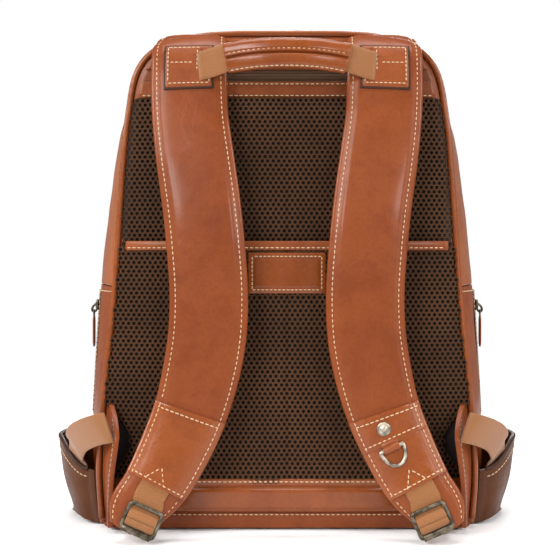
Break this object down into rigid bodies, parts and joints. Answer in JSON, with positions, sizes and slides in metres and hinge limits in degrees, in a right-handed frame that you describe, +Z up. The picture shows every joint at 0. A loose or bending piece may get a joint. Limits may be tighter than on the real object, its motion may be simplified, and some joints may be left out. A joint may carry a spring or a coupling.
{
  "type": "leather laptop backpack",
  "caption": "Tan leather laptop backpack with mesh back, luggage sleeve, padded shoulder straps, carry handle, zipped front flap and open bottle pockets.",
  "frame": {"origin": "centre of the flat underside of the base panel", "axes": "+Z up from the base to the carry handle, -Y out of the harness side, +Y out of the front pocket side, +X to the right when looking at the harness"},
  "size_m": [0.4186, 0.255, 0.4371],
  "materials": {
    "tan_leather": "smooth waxed tan leather",
    "deep_leather": "darker tan leather",
    "mesh": "dark brown spacer mesh",
    "webbing": "tan twill webbing",
    "zip_tape": "brown zip tape",
    "antique_metal": "dark antique metal",
    "lining": "lining cloth"
  },
  "bodies": {
    "bag": {"back_panel": "deep_leather", "sleeve_top_band": "deep_leather", "label_patch": "deep_leather", "rear_yoke": "deep_leather", "strap_pad_left": "deep_leather", "strap_pad_right": "deep_leather", "handle_patch_left": "deep_leather", "handle_patch_right": "deep_leather", "front_panel_lower": "tan_leather", "base_panel": "tan_leather", "side_gusset_left": "tan_leather", "side_gusset_right": "tan_leather", "top_gusset_rear": "tan_leather", "back_piping": "tan_leather", "sleeve_bottom_band": "tan_leather", "front_pocket": "tan_leather", "side_pocket_left": "tan_leather", "side_pocket_right": "tan_leather", "wing_left": "tan_leather", "wing_right": "tan_leather", "strap_face_left": "tan_leather", "strap_face_right": "tan_leather", "strap_end_patch_left": "tan_leather", "strap_end_patch_right": "tan_leather", "dring_tab": "tan_leather", "mesh_pad_upper": "mesh", "luggage_sleeve": "mesh", "buckle_web_left": "webbing", "buckle_web_right": "webbing", "adjuster_web_left": "webbing", "adjuster_web_right": "webbing", "pocket_web_left": "webbing", "pocket_web_right": "webbing", "main_zip_rear": "zip_tape", "rear_zip_tape": "zip_tape", "side_zip_left": "zip_tape", "side_zip_right": "zip_tape", "front_pocket_zip_tape": "zip_tape", "rivet": "antique_metal", "lining": "lining"},
    "flap": {"front_panel_upper": "tan_leather", "top_gusset_front": "tan_leather", "main_zip_front": "zip_tape"},
    "main_slide_left": {"main_slider_left": "antique_metal"},
    "main_slide_right": {"main_slider_right": "antique_metal"},
    "main_pull_left": {"main_puller_left": "tan_leather"},
    "main_pull_right": {"main_puller_right": "tan_leather"},
    "rear_slide": {"rear_zip_slider": "antique_metal"},
    "rear_pull": {"rear_zip_puller": "tan_leather"},
    "side_slide_left": {"side_slider_left": "antique_metal"},
    "side_slide_right": {"side_slider_right": "antique_metal"},
    "side_pull_left": {"side_puller_left": "tan_leather"},
    "side_pull_right": {"side_puller_right": "tan_leather"},
    "front_slide": {"front_pocket_slider": "antique_metal"},
    "front_pull": {"front_pocket_puller": "tan_leather"},
    "ring": {"d_ring": "antique_metal"},
    "buckle_body_left": {"buckle_left": "antique_metal"},
    "buckle_body_right": {"buckle_right": "antique_metal"},
    "handle": {"handle_grip": "tan_leather", "handle_web": "webbing"}
  },
  "joints": [
    {"name": "flap_fold", "type": "hinge", "parent": "bag", "child": "flap", "pos_m": [0, 0.075, 0.208], "axis": [-1, 0, 0], "range_deg": [0, 60]},
    {"name": "main_slide_left", "type": "slide", "parent": "flap", "child": "main_slide_left", "axis": [-1, 0, 0], "range_m": [0, 0.05]},
    {"name": "main_slide_right", "type": "slide", "parent": "flap", "child": "main_slide_right", "axis": [1, 0, 0], "range_m": [0, 0.05]},
    {"name": "main_pull_left", "type": "hinge", "parent": "main_slide_left", "child": "main_pull_left", "pos_m": [-0.0126, 0.03, 0.43568], "axis": [0, 1, 0], "range_deg": [0, 90]},
    {"name": "main_pull_right", "type": "hinge", "parent": "main_slide_right", "child": "main_pull_right", "pos_m": [0.0126, 0.03, 0.43568], "axis": [0, -1, 0], "range_deg": [0, 90]},
    {"name": "rear_slide", "type": "slide", "parent": "bag", "child": "rear_slide", "axis": [-1, 0, 0], "range_m": [0, 0.17]},
    {"name": "rear_pull", "type": "hinge", "parent": "rear_slide", "child": "rear_pull", "pos_m": [0.088, -0.0822, 0.3884], "axis": [-1, 0, 0], "range_deg": [0, 30]},
    {"name": "side_slide_left", "type": "slide", "parent": "bag", "child": "side_slide_left", "axis": [-0.0606, 0, -0.9982], "range_m": [0, 0.08]},
    {"name": "side_slide_right", "type": "slide", "parent": "bag", "child": "side_slide_right", "axis": [0.0606, 0, -0.9982], "range_m": [0, 0.08]},
    {"name": "side_pull_left", "type": "hinge", "parent": "side_slide_left", "child": "side_pull_left", "pos_m": [-0.17783, -0.004, 0.1854], "axis": [0, 1, 0], "range_deg": [0, 120]},
    {"name": "side_pull_right", "type": "hinge", "parent": "side_slide_right", "child": "side_pull_right", "pos_m": [0.17783, -0.004, 0.1854], "axis": [0, -1, 0], "range_deg": [0, 120]},
    {"name": "front_slide", "type": "slide", "parent": "bag", "child": "front_slide", "axis": [1, 0, 0], "range_m": [0, 0.124]},
    {"name": "front_pull", "type": "hinge", "parent": "front_slide", "child": "front_pull", "pos_m": [-0.062, 0.1117, 0.1554], "axis": [1, 0, 0], "range_deg": [0, 120]},
    {"name": "ring_swing", "type": "hinge", "parent": "bag", "child": "ring", "pos_m": [0.08595, -0.13208, 0.07755], "axis": [-0.9038, 0, -0.4279], "range_deg": [0, 150]},
    {"name": "buckle_tilt_left", "type": "hinge", "parent": "bag", "child": "buckle_body_left", "pos_m": [-0.1141, -0.1383, 0.02955], "axis": [-0.9119, -0.021, 0.4099], "range_deg": [0, 15]},
    {"name": "buckle_tilt_right", "type": "hinge", "parent": "bag", "child": "buckle_body_right", "pos_m": [0.1141, -0.1383, 0.02955], "axis": [-0.9119, 0.021, -0.4099], "range_deg": [0, 15]},
    {"name": "handle_lift", "type": "hinge", "parent": "bag", "child": "handle", "pos_m": [0, -0.1073, 0.4075], "axis": [-1, 0, 0], "range_deg": [0, 40]}
  ]
}
